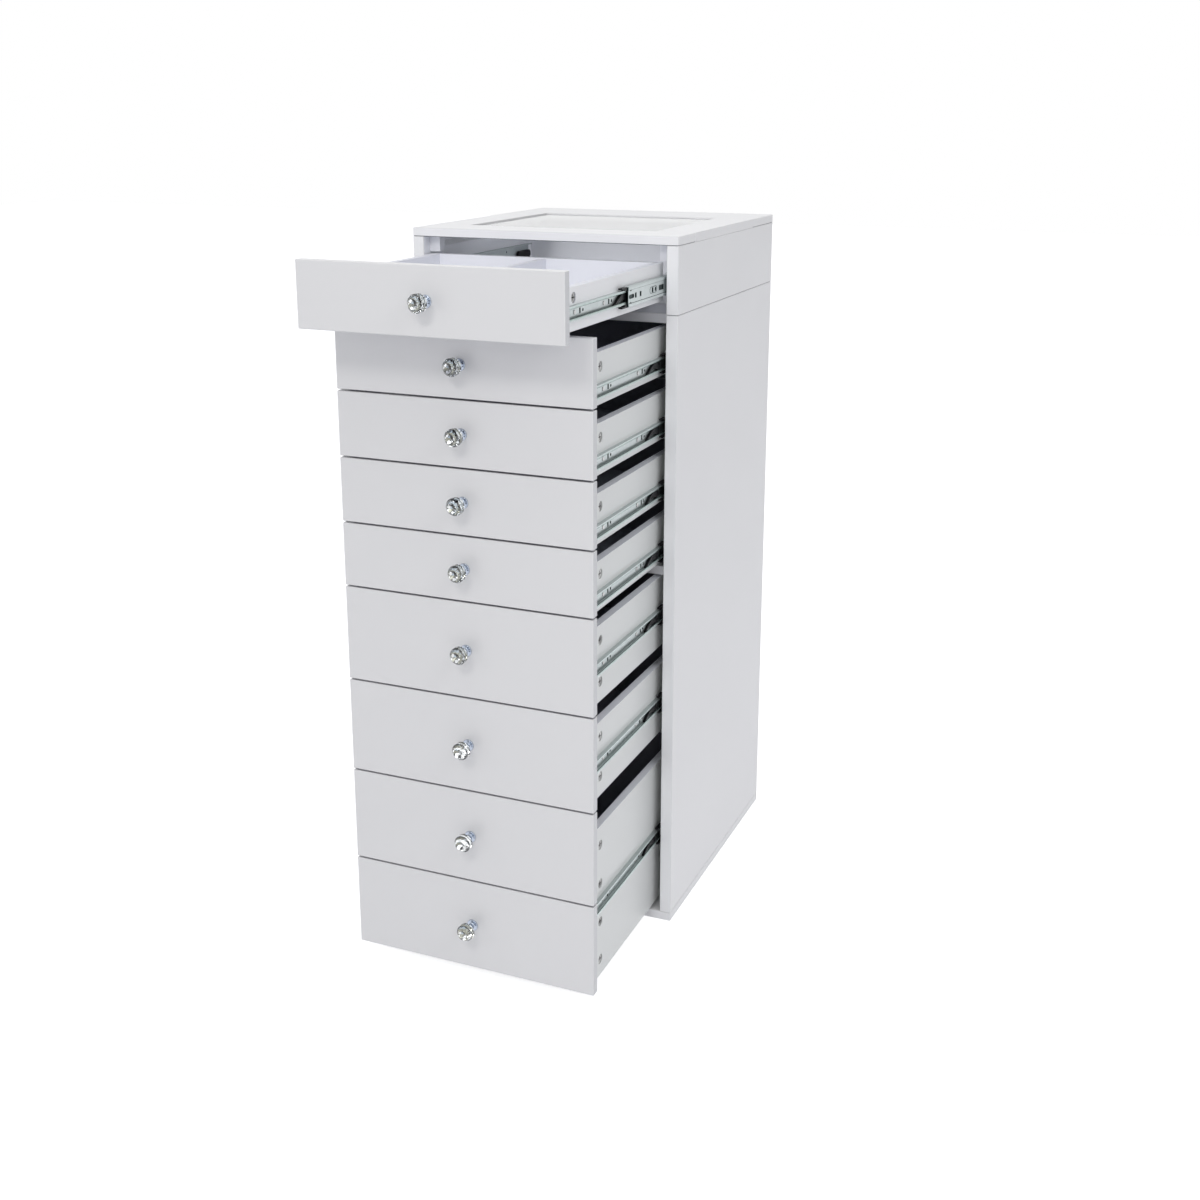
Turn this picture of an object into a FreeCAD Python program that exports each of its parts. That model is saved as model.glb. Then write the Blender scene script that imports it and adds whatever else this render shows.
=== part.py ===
"""Lighted drawer display unit: a tower of drawers under a glass-topped display case.

Millimetres. X runs to the right, Y to the back and Z up. The origin is the middle of the
case's underside and the fronts face -Y. Every drawer is modelled pulled out, as it is
photographed. Slides are described by u, the distance from the inner face of the case's
side towards the drawer.
"""

import FreeCAD, Part
import math
import os
from dataclasses import dataclass

# Case
CASE_WIDTH = 450.0
CASE_DEPTH = 490.0
SIDE_THICK = 19.0
BASE_THICK = 15.0
SHELF_THICK = 15.0
SLAB_THICK = 14.0
BACK_THICK = 5.0
BACK_INSET = 6.0
RAIL_DEPTH = 80.0
MIDDLE_RAIL_DROP = 4.5
CASE_JOINT_DROP = 3.5
BOARD_EASE = 1.0

# Display case
DISPLAY_BACK_THICK = 12.0
SUPPLY_BAY_DEPTH = 67.0
STILE_WIDTH = 65.0
FRONT_RAIL_WIDTH = 75.0
BACK_RAIL_WIDTH = 120.0
GLASS_THICK = 5.0
GLASS_RECESS = 2.0
GLASS_LEDGE = 10.0
GLASS_CLEARANCE = 0.3

# Light rails, their strips and the supply
LIGHT_RAIL_WIDTH = 18.0
LIGHT_RAIL_HEIGHT = 25.0
LIGHT_RAIL_SETBACK = 20.0
LIGHT_SLOT_HEIGHT = 8.0
LIGHT_SLOT_DEPTH = 7.0
LIGHT_SLOT_MARGIN = 16.0
LIGHT_SLOT_DROP = 8.0
DIFFUSER_THICK = 2.0
DIFFUSER_CLEARANCE = 0.2
STRIP_THICK = 1.5
STRIP_WIDTH = 5.0
DRIVER_LENGTH = 110.0
DRIVER_DEPTH = 42.0
DRIVER_HEIGHT = 26.0
DRIVER_EASE = 2.0
INLET_RADIUS = 5.5
INLET_FLANGE_RADIUS = 7.5
INLET_FLANGE_THICK = 2.0
INLET_LENGTH = 14.0
INLET_BORE_RADIUS = 3.1
INLET_BORE_DEPTH = 10.0
INLET_PIN_RADIUS = 1.0
INLET_CLEARANCE = 0.1
INLET_RISE = 45.0

# Bolts that join the two cases
JOIN_BOLT_RADIUS = 3.0
JOIN_BOLT_LENGTH = 24.0
JOIN_HEAD_RADIUS = 6.0
JOIN_HEAD_THICK = 2.5
JOIN_BOLT_INSET = 45.0
JOIN_CLEARANCE = 0.1

# Drawer fronts
FRONT_THICK = 15.0
FRONT_GAP = 2.5
FRONT_SIDE_GAP = 3.0
FRONT_ROUND = 1.3
FRONT_SEAT = 4.0
BASE_GAP = 3.0
SMALL_PITCH = 100.0
LARGE_PITCH = 150.0
TOP_FRONT_HEIGHT = 96.5
SLAB_GAP = 1.5

# Walls of each kind of drawer: their height, their lift above the front's bottom, the
# slide's rise above their bottom and the first cam's drop below their top
TOP_WALL_HEIGHT = 58.0
TOP_WALL_LIFT = 13.0
TOP_SLIDE_RISE = 25.0
TOP_CAM_DROP = 14.0
SMALL_WALL_HEIGHT = 74.0
SMALL_WALL_LIFT = -1.5
SMALL_SLIDE_RISE = 20.5
SMALL_CAM_DROP = 21.0
LARGE_WALL_HEIGHT = 118.0
LARGE_WALL_LIFT = 7.0
LARGE_SLIDE_RISE = 57.0
LARGE_CAM_DROP = 24.0
DEEP_WALL_HEIGHT = 250.0
DEEP_WALL_LIFT = 6.5
DEEP_SLIDE_RISE = 125.0
DEEP_CAM_DROP = 31.0

# Drawer boxes
WALL_THICK = 12.0
FLOOR_THICK = 5.0
FLOOR_RISE = 8.0
GROOVE_DEPTH = 5.0
DIVIDER_THICK = 10.0
DIVIDER_DROP = 1.0
RUNNER_SPACE = 12.7

# Cam locks
CAM_RADIUS = 7.1
CAM_DEPTH = 9.5
CAM_RECESS = 1.2
CAM_CLEARANCE = 0.5
CAM_DISTANCE = 34.0
CAM_SPACING = 64.0
CAM_CROSS_LENGTH = 8.0
CAM_CROSS_WIDTH = 1.6
CAM_CROSS_DEPTH = 1.2

# Slides of the top drawer and of the lower drawers. The room is what a slide leaves behind it.
# The shares of its length say how far the drawer is pulled out in the photographed pose, and how
# far its middle section then stands out of the case.
TOP_SLIDE_ROOM = 16.0
TOP_FIRST_HOLE = 34.0
TOP_HOLE_STEP = 100.0
TOP_LEVER_PLACE = 166.0
TOP_MIDDLE_INSET = 28.0
TOP_PULL_SHARE = 1.0
TOP_REACH_SHARE = 0.4
LOWER_SLIDE_ROOM = 60.0
LOWER_FIRST_HOLE = 41.0
LOWER_HOLE_STEP = 132.0
LOWER_LEVER_PLACE = 205.0
LOWER_MIDDLE_INSET = 60.0
LOWER_PULL_SHARE = 0.685
LOWER_REACH_SHARE = -0.055

# Sections of every slide
SLIDE_METAL = 1.2
CABINET_HEIGHT = 35.0
CABINET_LIP = 9.0
MIDDLE_HEIGHT = 29.0
MIDDLE_START = 3.0
MIDDLE_LIP = 10.2
MEMBER_HEIGHT = 20.0
MEMBER_LIP = 6.0
BUMPER_LENGTH = 50.0
BUMPER_HEIGHT = 14.0
BUMPER_CLEARANCE = 0.3
BUMPER_STOP_GAP = 1.0
ROW_CLEARANCE = 0.25
ROW_WIDTH = 3.4
ROW_MARGIN = 8.0
INNER_ROW_LENGTH = 36.0
OUTER_ROW_LENGTH = 100.0
STOP_LENGTH = 20.0
STOP_ROOT = 9.0
STOP_FLANGE = 2.2
STOP_CLEARANCE = 0.3
HOLE_RADIUS = 3.2
SCREW_RADIUS = 3.0
SCREW_PROUD = 0.8
PILOT_RADIUS = 2.2
SLOT_WIDTH = 4.5
SLOT_HEIGHT = 7.6
SLOT_OFFSET = 18.0
PILOT_OFFSET = 28.0
OBLONG_LENGTH = 20.0
OBLONG_HEIGHT = 6.0
OBLONG_OFFSET = 12.0
MIDDLE_SLOT_WIDTH = 6.5
MIDDLE_SLOT_HEIGHT = 7.2
MIDDLE_SLOT_OFFSETS = (28.5, 47.5, 96.0)
MIDDLE_HOLE_OFFSET = 108.0
STOP_PIN_RADIUS = 1.5
STOP_PIN_OFFSET = 9.0
STOP_PIN_RISE = 9.0
WINDOW_OFFSET = 132.0
WINDOW_LENGTH = 20.0
WINDOW_HEIGHT = 8.0
PLATE_HOLE_RADIUS = 1.8
PLATE_HOLE_SPACING = 9.0
PLATE_HOLE_OFFSET = 90.0
PLATE_HOLE_STEP = 26.0

# Release levers
LEVER_LENGTH = 48.0
LEVER_BLOCK = 14.0
LEVER_TIP = 2.4
LEVER_ARM = 5.0
LEVER_CLEARANCE = 0.3
LEVER_THICK = 4.0

# Knobs, by depth in front of the drawer front
KNOB_FLANGE_RADIUS = 9.0
KNOB_FLANGE_THICK = 1.6
KNOB_BEVEL = 1.2
KNOB_NECK_RADIUS = 4.2
KNOB_NECK_DEPTH = 7.0
KNOB_CUP_RADIUS = 7.0
KNOB_CUP_DEPTH = 12.0
CRYSTAL_SEAT_RADIUS = 6.4
CRYSTAL_RADIUS = 13.1
CRYSTAL_GIRDLE_DEPTH = 19.2
CRYSTAL_BAND = 7.6
CRYSTAL_CROWN_RADIUS = 10.6
CRYSTAL_CROWN_DEPTH = 31.0
CRYSTAL_TABLE_RADIUS = 7.4
CRYSTAL_TABLE_DEPTH = 34.0
CRYSTAL_SIDES = 12
KNOB_SCREW_RADIUS = 1.9
KNOB_SCREW_REACH = 6.5
KNOB_THREAD_CLEARANCE = 0.1
KNOB_BORE_CLEARANCE = 0.3
KNOB_HEAD_RADIUS = 3.8
KNOB_HEAD_THICK = 2.4

# How far a cutting shape runs past the face that it opens
OVERRUN = 1.0

V = FreeCAD.Vector
ORIGIN = V(0, 0, 0)
X_AXIS = V(1, 0, 0)
Y_AXIS = V(0, 1, 0)
Z_AXIS = V(0, 0, 1)


@dataclass(frozen=True)
class Slide:
    """A three-part slide. Places along it are measured behind the drawer front's back face."""

    length: float
    first_hole: float
    hole_step: float
    lever_place: float
    middle_inset: float  # the shut middle section's front end, behind the case section's
    pull: float
    middle_reach: float


@dataclass(frozen=True)
class DrawerKind:
    """A drawer's sizes. wall_lift is its walls' height above the bottom of its lowest front."""

    front_heights: tuple
    wall_height: float
    wall_lift: float
    slide_rise: float
    cam_drop: float
    cam_count: int
    slide: Slide


# Places along the case's depth
front_y = -CASE_DEPTH / 2
back_y = CASE_DEPTH / 2
back_panel_y = back_y - BACK_INSET - BACK_THICK
display_back_y = back_panel_y - SUPPLY_BAY_DEPTH - DISPLAY_BACK_THICK
slide_front_y = front_y + FRONT_THICK + FRONT_SEAT
top_slide_length = display_back_y - TOP_SLIDE_ROOM - slide_front_y
lower_slide_length = back_panel_y - LOWER_SLIDE_ROOM - slide_front_y

TOP_SLIDE = Slide(
    length=top_slide_length,
    first_hole=TOP_FIRST_HOLE,
    hole_step=TOP_HOLE_STEP,
    lever_place=TOP_LEVER_PLACE,
    middle_inset=TOP_MIDDLE_INSET,
    pull=top_slide_length * TOP_PULL_SHARE,
    middle_reach=top_slide_length * TOP_REACH_SHARE,
)
LOWER_SLIDE = Slide(
    length=lower_slide_length,
    first_hole=LOWER_FIRST_HOLE,
    hole_step=LOWER_HOLE_STEP,
    lever_place=LOWER_LEVER_PLACE,
    middle_inset=LOWER_MIDDLE_INSET,
    pull=lower_slide_length * LOWER_PULL_SHARE,
    middle_reach=lower_slide_length * LOWER_REACH_SHARE,
)
TOP = DrawerKind(
    front_heights=(TOP_FRONT_HEIGHT,),
    wall_height=TOP_WALL_HEIGHT,
    wall_lift=TOP_WALL_LIFT,
    slide_rise=TOP_SLIDE_RISE,
    cam_drop=TOP_CAM_DROP,
    cam_count=1,
    slide=TOP_SLIDE,
)
SMALL = DrawerKind(
    front_heights=(SMALL_PITCH - FRONT_GAP,),
    wall_height=SMALL_WALL_HEIGHT,
    wall_lift=SMALL_WALL_LIFT,
    slide_rise=SMALL_SLIDE_RISE,
    cam_drop=SMALL_CAM_DROP,
    cam_count=1,
    slide=LOWER_SLIDE,
)
LARGE = DrawerKind(
    front_heights=(LARGE_PITCH - FRONT_GAP,),
    wall_height=LARGE_WALL_HEIGHT,
    wall_lift=LARGE_WALL_LIFT,
    slide_rise=LARGE_SLIDE_RISE,
    cam_drop=LARGE_CAM_DROP,
    cam_count=2,
    slide=LOWER_SLIDE,
)
DEEP = DrawerKind(
    front_heights=(LARGE_PITCH - FRONT_GAP, LARGE_PITCH - FRONT_GAP),
    wall_height=DEEP_WALL_HEIGHT,
    wall_lift=DEEP_WALL_LIFT,
    slide_rise=DEEP_SLIDE_RISE,
    cam_drop=DEEP_CAM_DROP,
    cam_count=4,
    slide=LOWER_SLIDE,
)
LOWER_ORDER = (DEEP, LARGE, LARGE, SMALL, SMALL, SMALL, SMALL)  # from the bottom up


def height_with_gap(kind):
    """The height that a drawer takes in the stack, with the gap above each of its fronts."""
    return sum(front + FRONT_GAP for front in kind.front_heights)


# Places across the case's width and up its height
half_width = CASE_WIDTH / 2
inner_half = half_width - SIDE_THICK
box_half = inner_half - RUNNER_SPACE
front_half = inner_half - FRONT_SIDE_GAP
stack_bottom = BASE_THICK + BASE_GAP
top_front_bottom = stack_bottom + sum(height_with_gap(kind) for kind in LOWER_ORDER)
lower_top = top_front_bottom - FRONT_GAP - CASE_JOINT_DROP
display_floor = lower_top + SHELF_THICK
slab_bottom = top_front_bottom + TOP_FRONT_HEIGHT + SLAB_GAP
case_top = slab_bottom + SLAB_THICK

parts = {}


def board(x_span, y_span, z_span, ease=0):
    """A rectangular board between three pairs of limits, with its edges eased."""
    low = V(x_span[0], y_span[0], z_span[0])
    solid = Part.makeBox(
        x_span[1] - x_span[0], y_span[1] - y_span[0], z_span[1] - z_span[0], low
    )
    return solid.makeChamfer(ease, solid.Edges) if ease else solid


def centred(middle, size):
    """The limits of a size laid evenly about its middle."""
    return (middle - size / 2, middle + size / 2)


def mirrored(solid):
    """The same solid on the other side of the object's middle plane."""
    return solid.mirror(ORIGIN, X_AXIS)


def both_sides(solids):
    """The right-hand solids with their left-hand twins."""
    return [*solids, *(mirrored(solid) for solid in solids)]


def cut(solid, tools):
    """The solid with every tool's shape taken out of it."""
    return solid.cut(Part.makeCompound(tools)).Solids[0]


def rod_x(radius, x_span, y, z):
    """A round rod along X."""
    return Part.makeCylinder(radius, x_span[1] - x_span[0], V(x_span[0], y, z), X_AXIS)


def rod_y(radius, x, y_span, z):
    """A round rod along Y."""
    return Part.makeCylinder(radius, y_span[1] - y_span[0], V(x, y_span[0], z), Y_AXIS)


def rod_z(radius, x, y, z_span):
    """A round rod along Z."""
    return Part.makeCylinder(radius, z_span[1] - z_span[0], V(x, y, z_span[0]), Z_AXIS)


def oblong_x(x_span, y_span, z, height):
    """A slot's shape along Y with round ends, cut along X."""
    radius = height / 2
    ends = (y_span[0] + radius, y_span[1] - radius)
    body = board(x_span, ends, centred(z, height))
    return body.fuse([rod_x(radius, x_span, y, z) for y in ends]).removeSplitter()


def slide_x(u_span):
    """The X limits of a span of u on the right-hand side."""
    return (inner_half - u_span[1], inner_half - u_span[0])


def channel(u_web, u_tip, height, y_span, z, holes):
    """A C section with its back at u_web and its lips ending at u_tip, with holes in its back."""
    outward = math.copysign(SLIDE_METAL, u_tip - u_web)
    outer = board(slide_x(sorted((u_web, u_tip))), y_span, centred(z, height))
    hollow_u = sorted((u_web + outward, u_tip + math.copysign(OVERRUN, outward)))
    hollow_y = (y_span[0] - OVERRUN, y_span[1] + OVERRUN)
    hollow = board(slide_x(hollow_u), hollow_y, centred(z, height - 2 * SLIDE_METAL))
    return cut(outer, [hollow, *holes])


def hole_span(u_web, u_tip):
    """The X limits of a hole through a section's back."""
    outward = math.copysign(SLIDE_METAL, u_tip - u_web)
    past = math.copysign(OVERRUN, outward)
    return slide_x(sorted((u_web - past, u_web + outward + past)))


def front_back_y(kind):
    """The back face of a drawer's front, in the photographed pose."""
    return front_y + FRONT_THICK - kind.slide.pull


def box_length(kind):
    """A drawer box is as long as its slide and the seat gap in front of it."""
    return kind.slide.length + FRONT_SEAT


def member_holes(kind, z, x_span):
    """Two groups of a screw hole, an upright slot and a small hole in the drawer section."""
    slide = kind.slide
    start = front_back_y(kind) + slide.first_hole
    tools = []
    for y in (start, start + slide.hole_step):
        tools.append(rod_x(HOLE_RADIUS, x_span, y, z))
        slot_y = centred(y + SLOT_OFFSET, SLOT_WIDTH)
        tools.append(board(x_span, slot_y, centred(z, SLOT_HEIGHT)))
        tools.append(rod_x(PILOT_RADIUS, x_span, y + PILOT_OFFSET, z))
    return tools


def lever(kind, z):
    """The curved release lever that lies in the drawer section's channel."""
    start = front_back_y(kind) + kind.slide.lever_place
    end = start + LEVER_LENGTH
    block = end - LEVER_BLOCK
    reach = MEMBER_HEIGHT / 2 - SLIDE_METAL - LEVER_CLEARANCE
    x_low, x_high = slide_x(centred((MEMBER_LIP + RUNNER_SPACE) / 2, LEVER_THICK))
    low = z - reach
    high = z + reach
    middle = (start + block) / 2
    outer_bend = V(x_low, middle, z + LEVER_ARM / 2)
    inner_bend = V(x_low, middle, z - LEVER_ARM / 2)
    edges = [
        Part.Arc(V(x_low, start, low + LEVER_TIP), outer_bend, V(x_low, block, high)).toShape(),
        Part.makeLine(V(x_low, block, high), V(x_low, end, high)),
        Part.makeLine(V(x_low, end, high), V(x_low, end, low)),
        Part.makeLine(V(x_low, end, low), V(x_low, block, low + LEVER_ARM)),
        Part.Arc(V(x_low, block, low + LEVER_ARM), inner_bend, V(x_low, start, low)).toShape(),
        Part.makeLine(V(x_low, start, low), V(x_low, start, low + LEVER_TIP)),
    ]
    return Part.Face(Part.Wire(edges)).extrude(X_AXIS * (x_high - x_low))


def drawer_section(kind, z):
    """The slide's drawer section with its screws and its release lever."""
    start = front_back_y(kind) + FRONT_SEAT
    y_span = (start, start + kind.slide.length)
    holes = member_holes(kind, z, hole_span(RUNNER_SPACE, MEMBER_LIP))
    section = channel(RUNNER_SPACE, MEMBER_LIP, MEMBER_HEIGHT, y_span, z, holes)
    head_x = slide_x((RUNNER_SPACE - SLIDE_METAL - SCREW_PROUD, RUNNER_SPACE))
    first = front_back_y(kind) + kind.slide.first_hole
    screws = [
        rod_x(SCREW_RADIUS, head_x, y, z) for y in (first, first + kind.slide.hole_step)
    ]
    return [section, *screws, lever(kind, z)]


def middle_length(slide):
    """The middle section ends short of the bumper when the drawer is shut."""
    return slide.length - slide.middle_inset - BUMPER_LENGTH - BUMPER_STOP_GAP


def middle_holes(front, z, x_span):
    """A long slot, three upright slots, a round hole, a window and two pin holes."""
    oblong_y = centred(front + OBLONG_OFFSET, OBLONG_LENGTH)
    window_y = centred(front + WINDOW_OFFSET, WINDOW_LENGTH)
    tools = [
        oblong_x(x_span, oblong_y, z, OBLONG_HEIGHT),
        board(x_span, window_y, centred(z, WINDOW_HEIGHT)),
        rod_x(HOLE_RADIUS, x_span, front + MIDDLE_HOLE_OFFSET, z),
    ]
    for offset in MIDDLE_SLOT_OFFSETS:
        slot_y = centred(front + offset, MIDDLE_SLOT_WIDTH)
        tools.append(board(x_span, slot_y, centred(z, MIDDLE_SLOT_HEIGHT)))
    for side in (1, -1):
        pin_z = z + side * STOP_PIN_RISE
        tools.append(rod_x(STOP_PIN_RADIUS, x_span, front + STOP_PIN_OFFSET, pin_z))
    return tools


def end_stop(front, z, side):
    """The hooked plastic stop above or below the middle section's front end."""
    x_low, x_high = slide_x((MIDDLE_START + SLIDE_METAL, MIDDLE_LIP))
    near = z + side * (MEMBER_HEIGHT / 2 + STOP_CLEARANCE)
    far = z + side * MIDDLE_HEIGHT / 2
    flange = far - side * STOP_FLANGE
    tip = front - STOP_LENGTH
    root = front - STOP_ROOT
    outline = [(front, near), (front, far), (tip, far), (tip, flange), (root, flange), (root, near)]
    corners = [V(x_low, y, height) for y, height in outline]
    profile = Part.Face(Part.makePolygon([*corners, corners[0]]))
    return profile.extrude(X_AXIS * (x_high - x_low))


def ball_rows(u_low, inner_height, outer_height, y_span, z):
    """The upper and the lower row of balls between two nested sections, as plain bars."""
    gap = (outer_height - inner_height) / 2 - SLIDE_METAL
    middle = inner_height / 2 + gap / 2
    x_span = slide_x((u_low, u_low + ROW_WIDTH))
    height = gap - 2 * ROW_CLEARANCE
    return [board(x_span, y_span, centred(z + side * middle, height)) for side in (1, -1)]


def middle_section(kind, z):
    """The slide's middle section with its ball rows and the two stops at its front end."""
    front = front_y - kind.slide.middle_reach
    back = front + middle_length(kind.slide)
    holes = middle_holes(front, z, hole_span(MIDDLE_START, MIDDLE_LIP))
    section = channel(MIDDLE_START, MIDDLE_LIP, MIDDLE_HEIGHT, (front, back), z, holes)
    inner_y = (front + ROW_MARGIN, front + ROW_MARGIN + INNER_ROW_LENGTH)
    outer_y = (back - ROW_MARGIN - OUTER_ROW_LENGTH, back - ROW_MARGIN)
    inner_u = MEMBER_LIP + ROW_CLEARANCE
    outer_u = MIDDLE_START + SLIDE_METAL
    inner = ball_rows(inner_u, MEMBER_HEIGHT, MIDDLE_HEIGHT, inner_y, z)
    outer = ball_rows(outer_u, MIDDLE_HEIGHT, CABINET_HEIGHT, outer_y, z)
    stops = [end_stop(front, z, side) for side in (1, -1)]
    return [section, *inner, *outer, *stops]


def plate_holes(rear, z, x_span):
    """Screw holes and a column of small holes in the back of the case section."""
    tools = []
    column = rear - PLATE_HOLE_OFFSET
    for step in (-1, 0, 1):
        tools.append(rod_x(PLATE_HOLE_RADIUS, x_span, column, z + step * PLATE_HOLE_SPACING))
    tools.append(rod_x(HOLE_RADIUS, x_span, column - PLATE_HOLE_STEP, z))
    tools.append(rod_x(PLATE_HOLE_RADIUS, x_span, column - 2 * PLATE_HOLE_STEP, z))
    return tools


def case_section(kind, z):
    """The slide's case section, screwed to the case's side, with its rear bumper."""
    y_span = (slide_front_y, slide_front_y + kind.slide.length)
    x_span = hole_span(0, CABINET_LIP)
    screw_y = slide_front_y + kind.slide.first_hole
    holes = [rod_x(HOLE_RADIUS, x_span, screw_y, z), *plate_holes(y_span[1], z, x_span)]
    section = channel(0, CABINET_LIP, CABINET_HEIGHT, y_span, z, holes)
    screw = rod_x(SCREW_RADIUS, slide_x((0, SLIDE_METAL + SCREW_PROUD)), screw_y, z)
    bumper_x = slide_x((SLIDE_METAL, MEMBER_LIP - BUMPER_CLEARANCE))
    bumper_y = (y_span[1] - BUMPER_LENGTH, y_span[1])
    bumper = oblong_x(bumper_x, bumper_y, z, BUMPER_HEIGHT)
    return [section, screw, bumper]


def cam_places(kind, wall_top):
    """The heights of one wall's cam locks, from the top down."""
    first = wall_top - kind.cam_drop
    return [first - CAM_SPACING * index for index in range(kind.cam_count)]


def cam_lock(x_face, y, z):
    """A round cam set into a wall's outer face, with a cross slot for a driver."""
    x_head = x_face - CAM_RECESS
    body = rod_x(CAM_RADIUS, (x_face - CAM_DEPTH, x_head), y, z)
    slot_x = (x_head - CAM_CROSS_DEPTH, x_head + OVERRUN)
    long = centred(y, CAM_CROSS_LENGTH)
    short = centred(y, CAM_CROSS_WIDTH)
    tall = centred(z, CAM_CROSS_LENGTH)
    low = centred(z, CAM_CROSS_WIDTH)
    return cut(body, [board(slot_x, long, low), board(slot_x, short, tall)])


def drawer_box(kind, wall_bottom):
    """Two side walls and a back wall, grooved for the floor that slides into them."""
    y_low = front_back_y(kind)
    y_high = y_low + box_length(kind)
    wall_top = wall_bottom + kind.wall_height
    z_span = (wall_bottom, wall_top)
    side_inner = box_half - WALL_THICK
    back_low = y_high - WALL_THICK
    floor_z = (wall_bottom + FLOOR_RISE, wall_bottom + FLOOR_RISE + FLOOR_THICK)
    floor_half = side_inner + GROOVE_DEPTH
    floor = board((-floor_half, floor_half), (y_low, back_low + GROOVE_DEPTH), floor_z)
    pocket = CAM_RADIUS + CAM_CLEARANCE
    pocket_x = (box_half - CAM_DEPTH, box_half + OVERRUN)
    cam_y = y_low + CAM_DISTANCE
    pockets = [rod_x(pocket, pocket_x, cam_y, z) for z in cam_places(kind, wall_top)]
    side = board((side_inner, box_half), (y_low, y_high), z_span)
    back = board((-side_inner, side_inner), (back_low, y_high), z_span)
    return [*both_sides([cut(side, [floor, *pockets])]), cut(back, [floor]), floor]


def drawer_hardware(kind, wall_bottom):
    """The drawer sections of both slides and every cam lock of one drawer."""
    wall_top = wall_bottom + kind.wall_height
    cam_y = front_back_y(kind) + CAM_DISTANCE
    cams = [cam_lock(box_half, cam_y, z) for z in cam_places(kind, wall_top)]
    return both_sides([*drawer_section(kind, wall_bottom + kind.slide_rise), *cams])


def drawer_front(kind, bottom, height):
    """One front with rounded edges and the hole for its knob's screw."""
    y_high = front_back_y(kind)
    y_span = (y_high - FRONT_THICK, y_high)
    panel = board((-front_half, front_half), y_span, (bottom, bottom + height))
    rounded = panel.makeFillet(FRONT_ROUND, panel.Edges)
    hole_y = (y_span[0] - OVERRUN, y_span[1] + OVERRUN)
    radius = KNOB_SCREW_RADIUS + KNOB_BORE_CLEARANCE
    return cut(rounded, [rod_y(radius, 0, hole_y, bottom + height / 2)])


def faceted(rings, face_y, z):
    """A cut crystal in front of face_y. Each ring is (radius, depth), turned half a side from
    the one before, with triangles between them."""
    step = 2 * math.pi / CRYSTAL_SIDES
    points = []
    for index, (radius, depth) in enumerate(rings):
        turn = step / 2 * (index % 2)
        angles = [turn + step * side for side in range(CRYSTAL_SIDES)]
        points.append(
            [V(radius * math.cos(a), face_y - depth, z + radius * math.sin(a)) for a in angles]
        )
    corners = [points[0], points[-1]]
    for index, (near, far) in enumerate(zip(points, points[1:])):
        for side in range(CRYSTAL_SIDES):
            after = (side + 1) % CRYSTAL_SIDES
            if index % 2:
                corners.append([near[side], near[after], far[after]])
                corners.append([near[side], far[after], far[side]])
            else:
                corners.append([near[side], near[after], far[side]])
                corners.append([near[after], far[after], far[side]])
    faces = [Part.Face(Part.makePolygon([*loop, loop[0]])) for loop in corners]
    solid = Part.Solid(Part.Shell(faces))
    if solid.Volume < 0:
        solid.reverse()
    return solid


def knob(kind, z):
    """A crystal on a turned base, held by a screw from inside the drawer."""
    face_y = front_back_y(kind) - FRONT_THICK
    outline = [
        (0, 0),
        (KNOB_FLANGE_RADIUS, 0),
        (KNOB_FLANGE_RADIUS, KNOB_FLANGE_THICK),
        (KNOB_FLANGE_RADIUS - KNOB_BEVEL, KNOB_FLANGE_THICK + KNOB_BEVEL),
        (KNOB_NECK_RADIUS + KNOB_BEVEL, KNOB_FLANGE_THICK + KNOB_BEVEL),
        (KNOB_NECK_RADIUS, KNOB_FLANGE_THICK + 2 * KNOB_BEVEL),
        (KNOB_NECK_RADIUS, KNOB_NECK_DEPTH),
        (KNOB_CUP_RADIUS, KNOB_CUP_DEPTH - KNOB_BEVEL),
        (KNOB_CUP_RADIUS, KNOB_CUP_DEPTH),
        (0, KNOB_CUP_DEPTH),
        (0, 0),
    ]
    profile = Part.makePolygon([V(radius, face_y - depth, z) for radius, depth in outline])
    turned = Part.Face(profile).revolve(V(0, face_y, z), Y_AXIS, 360)
    thread = KNOB_SCREW_RADIUS + KNOB_THREAD_CLEARANCE
    thread_y = (face_y - KNOB_SCREW_REACH - KNOB_BEVEL, face_y + OVERRUN)
    base = cut(turned, [rod_y(thread, 0, thread_y, z)])
    rings = [
        (CRYSTAL_SEAT_RADIUS, KNOB_CUP_DEPTH),
        (CRYSTAL_RADIUS, CRYSTAL_GIRDLE_DEPTH),
        (CRYSTAL_RADIUS, CRYSTAL_GIRDLE_DEPTH + CRYSTAL_BAND),
        (CRYSTAL_CROWN_RADIUS, CRYSTAL_CROWN_DEPTH),
        (CRYSTAL_TABLE_RADIUS, CRYSTAL_TABLE_DEPTH),
    ]
    head_y = face_y + FRONT_THICK
    shank = rod_y(KNOB_SCREW_RADIUS, 0, (face_y - KNOB_SCREW_REACH, head_y), z)
    head = rod_y(KNOB_HEAD_RADIUS, 0, (head_y, head_y + KNOB_HEAD_THICK), z)
    screw = shank.fuse(head).removeSplitter()
    return [faceted(rings, face_y, z), base, screw]


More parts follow.
